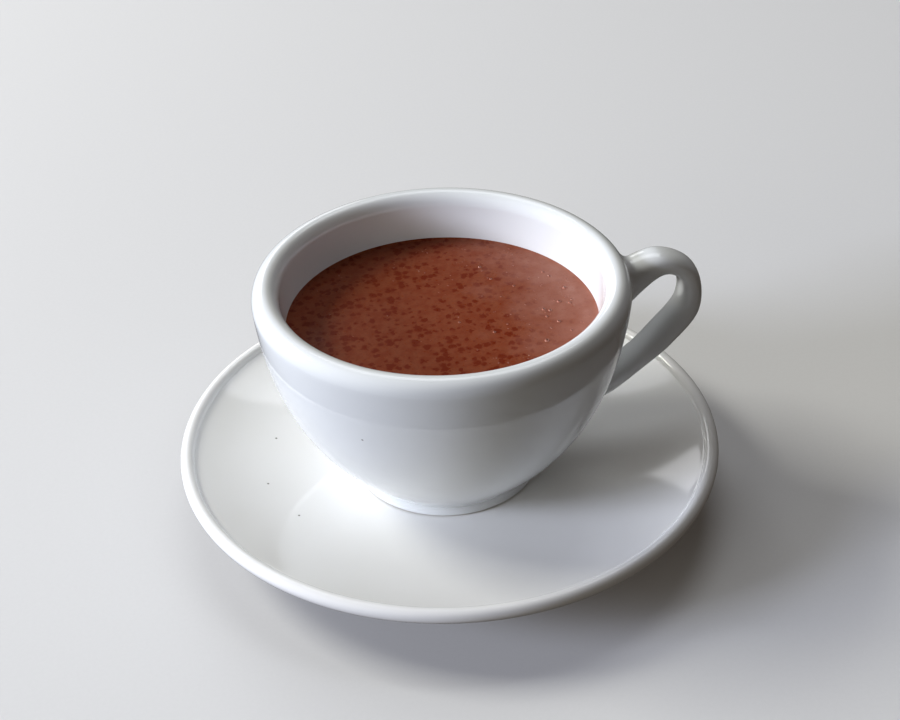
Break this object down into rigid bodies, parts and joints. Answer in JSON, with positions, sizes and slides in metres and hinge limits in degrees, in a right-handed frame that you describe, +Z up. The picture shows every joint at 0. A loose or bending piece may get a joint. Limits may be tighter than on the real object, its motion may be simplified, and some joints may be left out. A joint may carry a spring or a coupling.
{
  "type": "hot chocolate",
  "caption": "Hot chocolate filling a thick-walled white cup with an ear handle, standing on its round saucer.",
  "frame": {"origin": "on the table, at the centre of the saucer's foot ring", "axes": "+Z up along the saucer's axis, +X from the cup towards its handle"},
  "size_m": [0.149, 0.149, 0.0688],
  "materials": {
    "cup_glaze": "white gloss glaze",
    "saucer_glaze": "white gloss glaze",
    "chocolate": "opaque brown drink, wet satin with darker red-brown flecks"
  },
  "bodies": {
    "root": {"cup": "cup_glaze", "saucer": "saucer_glaze", "hot_chocolate": "chocolate"}
  },
  "joints": []
}
